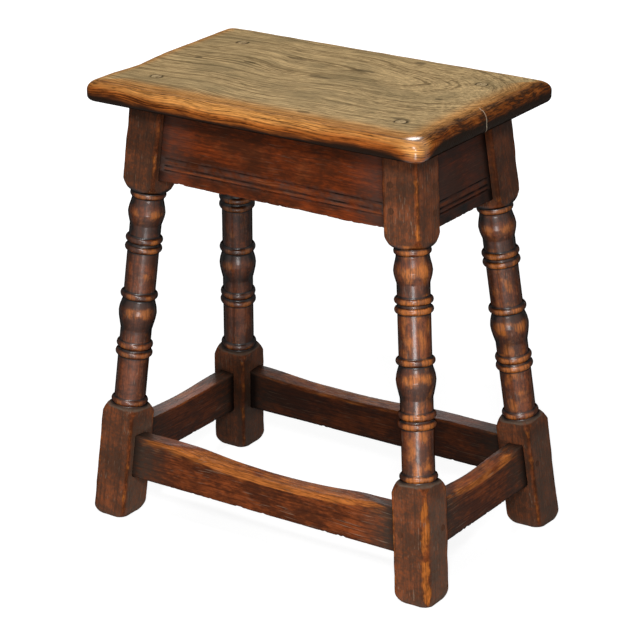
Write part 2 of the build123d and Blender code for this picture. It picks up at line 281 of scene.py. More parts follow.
def make_piece(node, slot, rings, wood, masks, extra=(), rim=None):
    """Closed mesh that stands for a CAD node, from rings of points (rows, around, 3).

    wood holds each point's distance from the pith, place round it and place along the grain,
    and rim the same for a grain that runs round the edge; masks are values from 0 to 1. extra
    holds more points and faces, for the tenons.
    """
    shape = rings.shape[:2]
    points, woods = with_middles(rings), with_middles(wood)
    values = {name: with_middles(np.broadcast_to(mask, shape)) for name, mask in masks.items()}
    faces = tube_faces(*shape)
    for more_points, more_faces in extra:
        faces += [[len(points) + i for i in face] for face in more_faces]
        points, woods = [np.concatenate([old, more_points]) for old in (points, woods)]
        values = {name: np.concatenate([old, np.zeros(len(more_points))])
                  for name, old in values.items()}
    mesh = bpy.data.meshes.new(node + "_oak")
    mesh.from_pydata(points.tolist(), [], faces)
    mesh.attributes.new("wood", "FLOAT_VECTOR", "POINT").data.foreach_set("vector", woods.ravel())
    if rim is not None:
        mesh.attributes.new("rim", "FLOAT_VECTOR", "POINT").data.foreach_set(
            "vector", with_middles(rim).ravel())
    for name, value in values.items():
        mesh.attributes.new(name, "FLOAT", "POINT").data.foreach_set("value", value)
    mesh.materials.append(MATERIALS[slot])
    mesh.shade_smooth()
    piece = bpy.data.objects.new(node + "_oak", mesh)
    bpy.context.scene.collection.objects.link(piece)
    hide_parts(node)
    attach(piece, "root")
    return piece


def wood_of(across, other, along, pith):
    """Distance from a pith at a place across the grain, place round it, and place along it."""
    first, second = across - pith[0], other - pith[1]
    radius = np.hypot(first, second)
    return np.stack([radius, np.arctan2(second, first) * np.hypot(*pith), along], -1)


# ---------------------------------------------------------------- legs
def leg_axes(corner):
    """Foot, and directions across the +X face, across the +Y face and up the leg."""
    up = unit([*(-SLOPE * corner), 1])
    face = unit(np.array([1, 0, 0]) - up * up[0])
    return np.array([*(FOOT * corner), 0]), face, np.cross(up, face), up


def turned_profile():
    """Heights in fine steps up a leg, its radius, and how far it is a crest, a quirk, and a neck or
    bulb underside that is painted darker.
    """
    height = np.arange(0, PROFILE_TOP + PROFILE_STEP, PROFILE_STEP)
    radius = np.interp(height, *np.transpose(PROFILE))
    blurred = 12
    kernel = np.exp(-np.linspace(-2, 2, 2 * blurred + 1) ** 2)
    radius = np.convolve(np.pad(radius, blurred, "edge"), kernel / kernel.sum(), "valid")

    # Crests are the full parts of the two bulbs, and then the rings.
    belly = np.where(height < 300, smooth(247, 258, height), smooth(370, 380, height))
    crest = between(20.4, 22.2, BULB_LIMIT, 23.2, radius) * belly * 0.8
    for centre, top, half in RINGS:
        round_off = np.sqrt(np.clip(1 - ((height - centre) / half) ** 2, 0, 1))
        radius = np.maximum(radius, RING_ROOT + (top - RING_ROOT) * round_off)
        crest = np.maximum(crest, smooth(0.45, 0.9, round_off))
    beside = np.max([np.roll(radius, shift) for shift in range(-24, 25, 6)], axis=0)
    quirk = smooth(1.0, 2.8, beside - radius) * between(133, 138, 408, 416, height)
    # Necks and bulb undersides: less rubbed, and painted darker, partly as painted shade.
    neck = sum(hump(height, centre, width) for centre, width in NECKS)
    return height * MM, radius * MM, crest, quirk, neck


def leg_grid():
    """A leg's heights and angles, closer where it needs them, with its turning at each height.

    level is the height in metres and high the same in millimetres.
    """
    height, *values = turned_profile()
    turned = between(118, 124, 426, 432, height / MM)
    density = np.cumsum(0.33 + turned + hump(height, 0, 8 * MM) * 2)
    level = np.interp(np.linspace(density[0], density[-1], LEG_ROWS), density, height)
    radius, crest, quirk, neck = [np.interp(level, height, value)[:, None] for value in values]
    spread = np.linspace(0, 2 * np.pi, LEG_AROUND, endpoint=False)
    angle = (spread + ARRIS_CROWDING * np.sin(4 * spread))[None, :]
    return SimpleNamespace(level=level[:, None], high=level[:, None] / MM, angle=angle,
                           radius=radius, crest=crest, quirk=quirk, neck=neck)


def shape_leg(leg, seed, flattened):
    """Adds to a leg its uneven surface: blocks with worn arrises, turned between them."""
    # Noise is read on the plain leg, so that it runs on over the faces.
    around = np.stack([np.cos(leg.angle), np.sin(leg.angle), 0 * leg.angle], -1) * HALF_STOCK
    plain = around + leg.level[..., None] * np.array([0, 0, 1]) + seed
    leg.slow, leg.quick, leg.rough = unevenness(plain)

    # Of the blocks: how far an arris is rounded, and how far the foot is rounded under. Only the
    # arris between the front and the right face can be worn flat.
    off_face = (leg.angle + np.pi / 4) % (np.pi / 2) - np.pi / 4
    off_arris = np.abs((leg.angle + np.pi / 4 + np.pi) % (2 * np.pi) - np.pi)
    leg.worn = flattened * hump(off_arris, 0, 0.6) * between(2, 18, 104, 124, leg.high)
    arris = (ARRIS_EASE + 0.7 * leg.slow + 0.5 * leg.quick + ARRIS_FLATTENED * leg.worn) * MM
    foot_round = np.clip(1 - leg.high / FOOT_HEIGHT, 0, 1)
    inset = (FOOT_INSET + 0.9 * leg.slow) * MM * (1 - np.sqrt(1 - foot_round ** 2))
    arris = arris + FOOT_EASE * MM * foot_round ** 1.5
    half = HALF_STOCK - inset - (BLOCK_WORN + 0.10 * leg.slow + 0.05 * leg.rough) * MM

    across = half * np.tan(np.abs(off_face))
    hollow_face = (half - FACE_HOLLOW * MM * (1 - (across / half) ** 2)) / np.cos(off_face)
    inner = half - arris
    reach = inner * (np.cos(off_face) + np.sin(np.abs(off_face)))
    rounded = reach + np.sqrt(np.clip(arris ** 2 - 2 * inner ** 2 + reach ** 2, 0, None))
    square = np.where(across > inner, rounded, hollow_face)
    turning = leg.radius + (0.07 * leg.slow + 0.02 * leg.rough - TURNING_WORN) * MM
    leg.distance = soft_min(square, turning, 0.5 * MM)
    leg.from_arris = (half - across) / MM
    leg.turning = turning / MM
    leg.past_square = (turning - square) / MM


def leg_masks(leg, bare, shade_above, shade_turning, shade_below, rubbed):
    """Where a leg is rubbed to bare oak, dark with polish and with painted shade and shadow, glossy
    or dusty.
    """
    block = smooth(-0.6, 0.6, leg.past_square)
    turned = between(137, 142, 408, 413, leg.high)

    # Blocks are rubbed at their arrises and where they round off toward the turning.
    edge = smooth(6.0 + 8.0 * leg.worn, 0.5, leg.from_arris) * block
    uneven = 0.22 * leg.quick + 0.10 * leg.rough
    less_above = 1 - 0.35 * smooth(300, 400, leg.high)
    by_arris = edge * less_above * (0.38 * rubbed + leg.worn * (0.42 + 1.3 * uneven) + uneven)
    shoulder = smooth(14, 2, np.abs(leg.past_square)) * smooth(24, 31, leg.turning)

    # The turning is rubbed most on the crests beside its front, and is painted lighter toward its
    # front and back, as painted light.
    painted_lit = smooth(0.35, 0.98, np.abs(np.cos(leg.angle - LIT_AND_RUBBED_SIDE)))
    offset = np.abs((leg.angle - LIT_AND_RUBBED_SIDE + np.pi) % (2 * np.pi) - np.pi)
    beside = 0.35 + 0.65 * hump(offset, 0.62, 0.42)
    swell = leg.crest * np.where(leg.radius < BULB_LIMIT * MM, beside, 1)
    handled = bare + 0.10 * leg.slow + 0.26 * leg.quick + 0.70 * swell - 0.22 * leg.neck
    handled = handled - 0.12 * smooth(200, 190, leg.high)
    wear = np.maximum(by_arris, handled * (0.28 + 0.72 * painted_lit) * turned)
    wear = wear + 0.42 * rubbed * shoulder * (1 - turned)

    # Darker in the quirks and at the necks, and at the top with a painted shadow under the seat.
    dark = 0.7 * leg.quirk * turned + 0.42 * leg.neck + smooth(500, 516, leg.high)
    # Painted shade darkens each leg's upper block, lower block and turning by its own amount.
    dark = dark + shade_above * smooth(395, 425, leg.high) + shade_below * smooth(148, 124, leg.high)
    # The turning's sides are painted darker, as painted shade.
    dark = dark + (shade_turning + 0.55 * (1 - painted_lit)) * turned

    # Dust lies in the groove over the lower block, at the floor, and on the blocks' flats; the lower
    # blocks' +X faces are greyed most.
    groove = 0.9 * smooth(3.0, 0.5, np.abs(leg.high - DUSTY_GROOVE))
    low_flat = smooth(0.5, 0.9, np.cos(leg.angle)) * smooth(130, 110, leg.high)
    flats = block * (1 - edge) * (0.26 + 0.30 * low_flat)
    return {
        "wear": np.clip(wear, 0, 1),
        "dark": np.clip(dark, 0, 1),
        "shine": turned,
        "dust": groove + 0.3 * smooth(14, 0, leg.high) + flats,
    }


def leg_piece(name, corner, seed, flattened, **tones):
    """A leg that leans both ways, with both its ends cut level."""
    leg = leg_grid()
    shape_leg(leg, seed, flattened)
    foot, face, side, up = leg_axes(corner)
    first, second = leg.distance * np.cos(leg.angle), leg.distance * np.sin(leg.angle)
    to_level = -(first * face[2] + second * side[2]) / up[2]
    near_end = smooth(100, 60, leg.high) + smooth(450, 490, leg.high)
    along = leg.level * UP_LEG + to_level * near_end
    rings = foot + first[..., None] * face + second[..., None] * side + along[..., None] * up
    rings[..., 2] = np.clip(rings[..., 2], 0, FRAME_HEIGHT)
    wood = wood_of(first, second, along * LEG_GRAIN_SHORTER + seed[2] * 3, LEG_PITH)
    make_piece(f"leg_{name}", "oak_leg", rings, wood, leg_masks(leg, **tones))


# ---------------------------------------------------------------- rails
def rail_axes(side):
    """Middle of a side at seat level, and directions along the rail, up its face, outward."""
    outward = np.array([*OUTWARD[side], 0.0])
    axis = 0 if side in ("left", "right") else 1
    splay = math.atan(SLOPE[axis])
    normal = outward * math.cos(splay) + np.array([0, 0, math.sin(splay)])
    along = np.cross([0, 0, 1], outward)
    origin = outward * HEAD[axis] + np.array([0, 0, FRAME_HEIGHT])
    return origin, along, np.cross(normal, along), normal


def up_face(side, height, outward):
    """How far up a rail's face a height above the floor is, at an outward offset."""
    up, normal = rail_axes(side)[2:]
    return (height - FRAME_HEIGHT - outward * normal[2]) / up[2]


def rail_ends(side, up_rail, outward, depth=0.0):
    """Start and end along a rail, on the inner faces of its legs or a depth into them."""
    origin, along, up, normal = rail_axes(side)
    axis = 1 if side in ("left", "right") else 0
    base = origin + np.multiply.outer(up_rail, up) + np.multiply.outer(outward, normal)
    ends = []
    for corner in CORNERS.values():
        if np.dot(corner, OUTWARD[side]) > 0:
            foot, face, across, _ = leg_axes(corner)
            way = face if axis == 0 else across
            limit = -corner[axis] * (HALF_STOCK - depth)
            ends.append((limit - (base - foot) @ way) / (along @ way))
    return np.minimum(*ends), np.maximum(*ends)


def rail_shares(side, low, face):
    """Shares of a rail's length at which its rings stand, and that length."""
    length = np.ptp(rail_ends(side, low, face))
    return np.linspace(0, 1, int(length / RAIL_STEP))[:, None], length


def rail_rings(side, share, up_rail, outward):
    """Points of a rail at shares of its length, the place along it and the way to a leg."""
    origin, along, up, normal = rail_axes(side)
    start, end = rail_ends(side, up_rail, outward)
    place = start + (end - start) * share
    points = (origin + place[..., None] * along + up_rail[..., None] * up
              + outward[..., None] * normal)
    return points, place, np.minimum(place - start, end - place)


def tenon(side, low, high, at_start):
    """A plain tenon from a rail's shoulder into the leg, as points and faces."""
    up_rail = np.array([low, high, high, low])
    outward = np.repeat(TENON_CHEEKS, 2)
    origin, along, up, normal = rail_axes(side)
    pick = 0 if at_start else 1
    sections = []
    for depth in (TENON_ROOT, TENON_LENGTH):
        place = rail_ends(side, up_rail, outward, depth)[pick]
        sections.append(origin + np.multiply.outer(place, along) + np.multiply.outer(up_rail, up)
                        + np.multiply.outer(outward, normal))
    faces = [[i, (i + 1) % 4, 4 + (i + 1) % 4, 4 + i] for i in range(4)]
    faces += [[3, 2, 1, 0], [4, 5, 6, 7]]
    return np.concatenate(sections), [face[::-1] for face in faces] if at_start else faces


def moulding_depth(above):
    """Depth of the run moulding below the rail's face, at heights above its lower edge."""
    low, middle, high = QUIRKS
    depth = np.zeros_like(above)
    for first, second in ((low, middle), (middle, high)):
        centre, half = (first + second) / 2, (second - first) / 2
        off_centre = np.abs(above - centre) / half
        bead = BEAD_DEPTH + QUIRK_DEPTH * off_centre ** BEAD_ROUNDNESS
        depth = np.where(off_centre <= 1, bead, depth)
    for quirk, way in ((low, -1), (high, 1)):
        beside = (above - quirk) * way
        slope = (BEAD_DEPTH + QUIRK_DEPTH) * (1 - beside / QUIRK_SLOPE)
        depth = np.where((beside > 0) & (slope > 0), slope, depth)
    return depth


def frieze_section(face_height, back_height):
    """Section of a frieze rail, from its face's top down and up its back: above and outward."""
    turn = np.linspace(0, np.pi / 2, 6)
    back = FRIEZE_FACE - FRIEZE_THICKNESS
    face_rows = np.concatenate([
        np.linspace(face_height, 31 * MM, 28), np.linspace(30.6 * MM, 13 * MM, 56),
        np.linspace(12 * MM, 3 * MM, 6)])
    back_rows = np.linspace(3 * MM, back_height, 20)
    above = np.concatenate([face_rows, FRIEZE_EASE * (1 - np.sin(turn)),
                            FRIEZE_EASE * (1 - np.cos(turn)), back_rows])
    outward = np.concatenate([
        np.full(face_rows.size, FRIEZE_FACE), FRIEZE_FACE - FRIEZE_EASE * (1 - np.cos(turn)),
        back + FRIEZE_EASE * (1 - np.sin(turn)), np.full(back_rows.size, back)])
    return above, outward


def frieze_piece(side, seed):
    """Rail under the seat, with a run moulding that stops short of the legs."""
    low = up_face(side, FRIEZE_EDGE[side], FRIEZE_FACE)
    face_height = up_face(side, FRAME_HEIGHT, FRIEZE_FACE) - low
    back_height = up_face(side, FRAME_HEIGHT, FRIEZE_FACE - FRIEZE_THICKNESS) - low
    above, outward = frieze_section(face_height, back_height)

    # Rings stand a little closer by the legs, where the moulding stops.
    share, _ = rail_shares(side, low, FRIEZE_FACE)
    share = smooth(-0.03, 1.03, share) * 0.12 + share * 0.88
    share = (share - share[0]) / (share[-1] - share[0])
    above, outward = np.broadcast_arrays(above[None, :], outward[None, :] + 0 * share)
    rings, _, to_leg = rail_rings(side, share, low + above, outward)
    slow, quick, rough = unevenness(rings + seed)

    outer = smooth(-0.5, 0.5, (outward - FRIEZE_FACE) / MM + 2)
    run = smooth(4.5, 7.5, to_leg / MM)
    groove = moulding_depth(above) * outer
    chips = np.clip(middling((rings + seed) * 1.7) + 0.6 * rough - 0.30, 0, None) * 0.8 * MM
    raised = above + (chips + 0.4 * MM * (1 + slow)) * smooth(9, 1.5, above / MM)
    worn = (0.15 + 0.10 * slow + 0.06 * rough) * MM
    outward = outward + outer * (-groove * run * (1 + 0.12 * quick) - worn) + (1 - outer) * worn
    rings, place, to_leg = rail_rings(side, share, low + raised, outward)
    masks = frieze_masks(side, above / MM, face_height / MM, to_leg / MM, groove / MM, outer, run,
                         (slow, quick, rough))
    wood = wood_of(above + 0.6 * MM * slow, outward, place + seed[0] * 5, FRIEZE_PITH)
    tenon_low, tenon_high = FRIEZE_TENON
    tenons = [tenon(side, low + tenon_low, tenon_high, at_start) for at_start in (True, False)]
    make_piece(f"frieze_rail_{side}", "oak_frieze", rings, wood, masks, tenons)


def frieze_masks(side, above, face_height, to_leg, groove, outer, run, noise):
    """Where a frieze rail is worn, darker, glossy or dusty, with painted shadow and shade among the
    dark; lengths are in millimetres.
    """
    slow, quick, rough = noise
    bead = outer * run * smooth(0.9, 0.3, groove) * between(13, 15, 28, 30, above)
    middle = hump(above, 46, 24) * smooth(30, 120, to_leg)
    dark = (0.45 + 0.35 * quick) * smooth(0.6, 1.5, groove) * run
    dark = dark + 0.28 * outer * smooth(15, 12, above) * (1 + 0.5 * quick)
    # A painted shadow under the seat darkens the face's top; the ends by the legs are darker too.
    dark = dark + smooth(18, 6, face_height - above) + 0.45 * smooth(14, 0, to_leg)
    dust = 0.5 * outer * between(10, 16, 29, 34, above) * (0.6 + 0.5 * quick + 0.4 * rough)
    # The right rail is darker all over, as painted shade.
    in_shade = 0.55 if side == "right" else 0
    return {
        "wear": np.clip(0.42 * bead + 0.40 * smooth(5, 0.5, above) * outer + 0.36 * middle
                        + 0.1 * slow, 0, 1),
        "dark": np.clip(dark + in_shade, 0, 1),
        "shine": 0.5 * outer,
        "dust": np.clip(0.55 * smooth(60, 4, to_leg) + dust, 0, 1),
    }


def stretcher_section(side, place):
    """Section of a stretcher at places along it: outward and above, and how far it is the top.

    The top is dished like the hollow that feet wear in it, deeper at one arris.
    """
    inner_wear, outer_wear, reach, shift = [value * MM for value in FOOT_WEAR[side]]
    deepest = max(inner_wear, outer_wear)
    radius = (reach ** 2 + deepest ** 2) / (2 * deepest)
    lean = math.atan2(outer_wear - inner_wear, STRETCHER_THICKNESS)
    inner_face = STRETCHER_FACE - STRETCHER_THICKNESS
    sag = radius - np.sqrt(radius ** 2 - np.clip(place - shift, -radius, radius) ** 2)

    def height(outward):
        tilt = (outward - STRETCHER_FACE + STRETCHER_THICKNESS / 2) * math.tan(lean)
        depth = (inner_wear + outer_wear) / 2 - sag / math.cos(lean) + tilt
        return STRETCHER_HEIGHT + soft_min(0 * depth, -depth, 1.4 * MM)

    use = smooth(0.2, 4, (STRETCHER_HEIGHT - height(STRETCHER_FACE)) / MM)
    ease_out, ease_in = (1.3 + 2.6 * use) * MM, (1.2 + 1.4 * use) * MM
    turn = np.linspace(0, np.pi / 2, 7)[None, :]
    across, down, climb = [np.linspace(0, 1, count)[None, 1:-1] for count in (11, 30, 18)]
    outer_arris = STRETCHER_FACE - ease_out * (1 - np.sin(turn))
    inner_arris = inner_face + ease_in * (1 - np.cos(turn))
    over_top = (inner_face + ease_in) * (1 - across) + (STRETCHER_FACE - ease_out) * across
    outer_height = height(outer_arris) - ease_out * (1 - np.cos(turn))
    inner_height = height(inner_arris) - ease_in * (1 - np.sin(turn))
    ease_low, plain = STRETCHER_EASE, 0 * place
    loop = [
        (over_top, height(over_top), 1.0),
        (outer_arris, outer_height, 0.9),
        (STRETCHER_FACE + 0 * down, outer_height[:, -1:] * (1 - down) + ease_low * down, 0.0),
        (STRETCHER_FACE - ease_low * (1 - np.cos(turn)), ease_low * (1 - np.sin(turn)), 0.0),
        (inner_face + ease_low * (1 - np.sin(turn)), ease_low * (1 - np.cos(turn)), 0.0),
        (inner_face + 0 * climb, ease_low * (1 - climb) + inner_height[:, :1] * climb, 0.0),
        (inner_arris, inner_height, 0.9),
    ]
    parts = [np.broadcast_arrays(*part, plain)[:3] for part in loop]
    return [np.concatenate([part[i] for part in parts], 1) for i in range(3)]


def stretcher_piece(side, seed):
    """Low rail whose top is hollowed and rounded by feet."""
    low = up_face(side, STRETCHER_EDGE[side], STRETCHER_FACE)
    share, length = rail_shares(side, low, STRETCHER_FACE)
    outward, above, top = stretcher_section(side, (share - 0.5) * length)
    rings, *_ = rail_rings(side, share, low + above, outward)
    slow, quick, rough = unevenness(rings + seed)
    middle = STRETCHER_FACE - STRETCHER_THICKNESS / 2
    worn = (0.22 + 0.14 * slow + 0.06 * rough) * MM
    toward = np.clip((middle - outward) / (3 * MM), -1, 1)
    chips = np.clip(quick + 0.5 * rough - 0.5, 0, None) * 1.2 * MM
    raised = above + chips * smooth(5, 0.5, above / MM) - 0.5 * worn * top
    rings, place, to_leg = rail_rings(side, share, low + raised, outward + toward * worn)

    # Feet rub the top where it is worn down, its outer arris, and the face just below that.
    rubbed, shade = STRETCHER_TONES[side]
    use = smooth(0.3, 2.6, (STRETCHER_HEIGHT - above) / MM) * smooth(3, 16, to_leg / MM)
    by_arris = smooth(STRETCHER_FACE - 11 * MM, STRETCHER_FACE - 3 * MM, outward)
    near_top = smooth(18, 0, (above[:, :1] - above) / MM) * (outward > middle)
    on_top = top * (0.12 + (0.42 + 0.50 * by_arris) * use)
    wear = on_top + (1 - top) * near_top * (0.24 + 0.54 * use)
    wear = wear * (1 - 0.35 * smooth(60, 150, place / MM))
    # Darker by the legs and along the lower edge; painted shade darkens the faces of all but the
    # front stretcher, less their tops.
    dark = smooth(16, 0, to_leg / MM) * 0.6 + smooth(4, 0, above / MM) * 0.4
    masks = {
        "wear": np.clip(rubbed * wear * (1 + 0.25 * quick), 0, 1),
        "dark": np.clip(dark + shade * (1 - 0.7 * top), 0, 1),
        "shine": 0.30 + 0.4 * top,
        "dust": smooth(70, 5, to_leg / MM) * 0.75,
    }
    wood = wood_of(above + 0.8 * MM * slow, outward, place + seed[0] * 5, STRETCHER_PITH)
    tenon_low, tenon_height = STRETCHER_TENON
    edge = low + tenon_low
    tenons = [tenon(side, edge, edge + tenon_height, at_start) for at_start in (True, False)]
    make_piece(f"stretcher_{side}", "oak_stretcher", rings, wood, masks, tenons)


# ---------------------------------------------------------------- seat
def outline(inset):
    """The seat's outline from above, inset by a length, with its outward way at each point."""
    points, ways = [], []
    half = SEAT_HALF - inset
    corner_radius = max(min(SEAT_CORNER - 0.45 * inset, half[1]), 0.2 * MM)
    inner = half - corner_radius
    long_side, short_side, arc = [
        np.linspace(-1, 1, count, endpoint=False) for count in (190, 120, 18)]
    turn = (arc + 1) / 2 * np.pi / 2
    for quarter, along in enumerate((short_side, long_side, short_side, long_side)):
        angle = quarter * np.pi / 2
        out = np.array([math.cos(angle), math.sin(angle)])
        left = np.array([-out[1], out[0]])
        reach, span = np.abs(out) @ half, np.abs(left) @ inner
        points.append(out * reach + left * (along * span)[:, None])
        ways.append(np.broadcast_to(out, points[-1].shape))
        centre = out * (np.abs(out) @ inner) + left * span
        way = np.stack([np.cos(angle + turn), np.sin(angle + turn)], -1)
        points.append(centre + way * corner_radius)
        ways.append(way)
    return np.concatenate(points), np.concatenate(ways)


def seat_grid():
    """The seat's loops of points, from the middle below, round the edge, to the top's middle."""
    thickness = (SEAT_TOP - FRAME_HEIGHT) / MM
    turn = np.linspace(0, np.pi / 2, 15)
    below = np.array([136, 100, 60, 30, 14])
    on_top = np.concatenate([np.linspace(15, 135, 46), [139, 142]])
    inset = np.concatenate([below, EDGE_UNDER[0] * (1 - np.sin(turn)),
                            EDGE_OVER[0] * (1 - np.cos(turn)), on_top])
    height = np.concatenate([0 * below, EDGE_UNDER[1] * (1 - np.cos(turn)),
                             thickness - EDGE_OVER[1] * (1 - np.sin(turn)),
                             0 * on_top + thickness])
    plan, way = [np.stack(loops) for loops in zip(*[outline(value * MM) for value in inset])]
    inset, height = inset[:, None], height[:, None]
    level = np.broadcast_to(height * MM + FRAME_HEIGHT, plan.shape[:2])[..., None]
    return SimpleNamespace(points=np.concatenate([plan, level], -1), plan=plan, way=way,
                           inset=inset, height=height, thickness=thickness)


def wear_seat(seat):
    """Lets the seat's edges wander, lowers its worn end a little and cuts the split."""
    slow, quick, rough = unevenness(seat.points)
    x, y = seat.x, seat.y
    side = smooth(18, 6, seat.inset) * smooth(-1, 3, seat.height)
    worn = (0.20 + 0.20 * slow + 0.14 * quick + 0.05 * rough) * side
    low_end = hump(x, WORN_END[0], 45 * MM) * hump(y, WORN_END[1], 50 * MM)
    fall = np.clip(2.6 * low_end + 0.12 + 0.08 * slow + 0.04 * quick, 0, None)
    off_split = y - SPLIT_AT[1] + (x - SPLIT_AT[0]) * SPLIT_SLOPE
    split = np.exp(-np.abs(off_split) / (0.6 * MM)) * smooth(190 * MM, SPLIT_START, x)
    seat.points[..., :2] -= seat.way * (worn * MM)[..., None]
    seat.points[..., 2] -= (fall * smooth(8, 24, seat.height) + 0.35 * split) * MM


def seat_wood(seat):
    """Grain of the plank, whose pith lies below it and rises out of it at the right end."""
    x, y, z = seat.x, seat.y, seat.points[..., 2]
    along = np.clip((x + SEAT_HALF[0]) / (2 * SEAT_HALF[0]), 0, 1)
    pith_below = (0.045 + 0.060 * along ** 5 + (z - SEAT_TOP) * 0.9
                  + 0.0008 * middling(seat.points * [0.3, 1, 0]))
    across = y - 0.053 + 0.006 * broad(seat.points * [0.35, 0.6, 0] + 1)
    return np.stack([np.hypot(across, pith_below), np.arctan2(across, pith_below) * 0.06, x], -1)


def rim_wood(seat):
    """Grain of the worn edge, which runs round the seat and is layered down its side."""
    steps = [np.diff(value, axis=0, prepend=value[:1]) for value in (seat.inset, seat.height)]
    down = np.cumsum(np.hypot(*steps), axis=0) * MM
    loop = seat.plan[np.argmin(seat.inset)]
    around = np.cumsum(np.linalg.norm(np.diff(loop, axis=0, prepend=loop[:1]), axis=-1))
    level = 0 * seat.x
    wobble = 0.0012 * middling(seat.points * [0.35, 0.5, 0])
    return np.stack([down + wobble, level + 0.1, around + level], -1)


def seat_masks(seat):
    """Where the seat's edge is worn, how far down a point is, how far the right end is painted in
    shade, and where it is dark or polished.
    """
    x, y, inset, height = seat.x, seat.y, seat.inset, seat.height
    near_corner = hump(x, GOLDEN_CORNER[0], 30 * MM) * hump(y, GOLDEN_CORNER[1], 40 * MM)
    less_handled = np.clip(np.maximum(seat.way[..., 1], -0.7 * seat.way[..., 0]), 0, 1)
    toned = smooth(-0.10, -0.20, x) + smooth(0.05, 0.15, x)
    toned = toned * (1 - near_corner) * smooth(0, -0.1, y)
    toned = np.maximum(toned, 1.4 * less_handled)
    sunk = seat.thickness - (seat.points[..., 2] - FRAME_HEIGHT) / MM
    drop = np.clip(sunk / seat.thickness, 0, 1)
    drop = drop + (0.16 * toned - 0.34 * near_corner) * smooth(0.02, 0.3, drop)
    # The right end is painted darker, as painted shade, and gets its dark end dashes.
    right_end = np.clip(seat.way[..., 0], 0, 1) ** 2
    on_edge = smooth(52 - 34 * less_handled, 2, inset) * smooth(-2, 2, height)
    smudges = sum(hump(x, at_x * MM, length * MM) * hump(y, at_y * MM, width * MM)
                  for at_x, at_y, length, width in SMUDGES)
    return {
        "edge": on_edge * (1 - 0.25 * less_handled) + smooth(12, 4, height),
        "drop": np.clip(drop, 0, 1),
        "end": right_end * smooth(32, 8, inset) * (1 - 0.85 * near_corner),
        "toned": toned,
        "dark": np.clip(smudges * (inset > 12), 0, 1),
        "polish": hump(x, POLISHED_CORNER[0], 24 * MM) * hump(y, POLISHED_CORNER[1], 24 * MM),
    }


def seat_piece():
    """Plank with every edge worn round, a little lower where its left end is worn."""
    seat = seat_grid()
    seat.x, seat.y = seat.points[..., 0], seat.points[..., 1]
    wear_seat(seat)
    make_piece("seat_board", "oak_seat", seat.points, seat_wood(seat), seat_masks(seat),
               rim=rim_wood(seat))


# ---------------------------------------------------------------- building all the pieces
def build_pieces():
    """Makes every piece; each has its own place in the fields of noise."""
    seat_piece()
    for count, (name, corner) in enumerate(CORNERS.items(), 1):
        leg_piece(name, corner, np.array([0.13, 0.21, 0.17]) * count, **LEG_TONES[name])
    for count, side in enumerate(OUTWARD, 1):
        frieze_piece(side, np.array([0.31, 0.11, 0.07]) * count)
        stretcher_piece(side, np.array([0.09, 0.33, 0.23]) * count)


# ---------------------------------------------------------------- shader helpers
class Shading:
    """Short calls that add nodes to one tree; a value may be a socket or a constant."""

    def __init__(self, tree):
        self.tree = tree

    def node(self, kind, **settings):
        made = self.tree.nodes.new("ShaderNode" + kind)
        for name, value in settings.items():
            setattr(made, name, value)
        return made

    def put(self, socket, value):
        if isinstance(value, bpy.types.NodeSocket):
            self.tree.links.new(value, socket)
        elif isinstance(value, (tuple, list)) and socket.type == "RGBA":
            socket.default_value = (*value[:3], 1.0)
        else:
            socket.default_value = value

    def math(self, operation, first, second=0.0, third=0.0):
        made = self.node("Math", operation=operation)
        for socket, value in zip(made.inputs, (first, second, third)):
            self.put(socket, value)
        return made.outputs[0]

    def scaled(self, vector, factors):
        made = self.node("VectorMath", operation="MULTIPLY")
        self.put(made.inputs[0], vector)
        self.put(made.inputs[1], factors)
        return made.outputs[0]

    def noise(self, vector, detail=2.0, roughness=0.5):
        """Noise of one wave to each unit of a vector."""
        made = self.node("TexNoise")
        for name, value in (("Vector", vector), ("Scale", 1.0), ("Detail", detail),
                            ("Roughness", roughness)):
            self.put(made.inputs[name], value)
        return made.outputs["Fac"]

    def ramp(self, value, low, high, out_low=0.0, out_high=1.0):
        made = self.node("MapRange", interpolation_type="SMOOTHSTEP")
        for name, given in (("Value", value), ("From Min", low), ("From Max", high),
                            ("To Min", out_low), ("To Max", out_high)):
            self.put(made.inputs[name], given)
        return made.outputs["Result"]

    def mix(self, share, first, second, blend="MIX"):
        made = self.node("Mix", data_type="RGBA", blend_type=blend)
        colours = [socket for socket in made.inputs if socket.type == "RGBA"]
        self.put(made.inputs[0], share)
        self.put(colours[0], first)
        self.put(colours[1], second)
        return [socket for socket in made.outputs if socket.type == "RGBA"][0]

    def grain(self, name, wood, detail=2.0, roughness=0.5):
        """Noise along the wood, at one of the named waves."""
        return self.noise(self.scaled(wood, WAVES[name]), detail, roughness)

    def attribute(self, name, kind="Fac"):
        return self.node("Attribute", attribute_name=name).outputs[kind]

    def place(self):
        return self.node("NewGeometry").outputs["Position"]

    def split(self, vector):
        made = self.node("SeparateXYZ")
        self.put(made.inputs[0], vector)
        return made.outputs

    def joined(self, *values):
        made = self.node("CombineXYZ")
        for socket, value in zip(made.inputs, values):
            self.put(socket, value)
        return made.outputs[0]

    def group(self, name, **values):
        made = self.node("Group", node_tree=bpy.data.node_groups[name])
        for socket, value in values.items():
            self.put(made.inputs[socket.replace("_", " ")], value)
        return made.outputs


# Waves of noise in a metre, out from the pith, round it and along the grain.
WAVES = {
    "wander": (45, 25, 7), "fibre": (760, 480, 30), "streak": (420, 160, 7),
    "pore": (900, 600, 65), "dash": (700, 500, 60), "patch": (90, 90, 45),
    "cloud": (28, 28, 14), "speck": (260, 260, 120), "scratch": (900, 500, 34),
    "scratched place": (60, 60, 26), "dent": (150, 150, 80), "weather": (22, 30, 12),
    "wobble": (130, 130, 130),
}
WORN_WAVES = (480, 280)
BAND_WAVES = (14.0, 3.0)
KINDS = {"value": "NodeSocketFloat", "colour": "NodeSocketColor", "vector": "NodeSocketVector"}


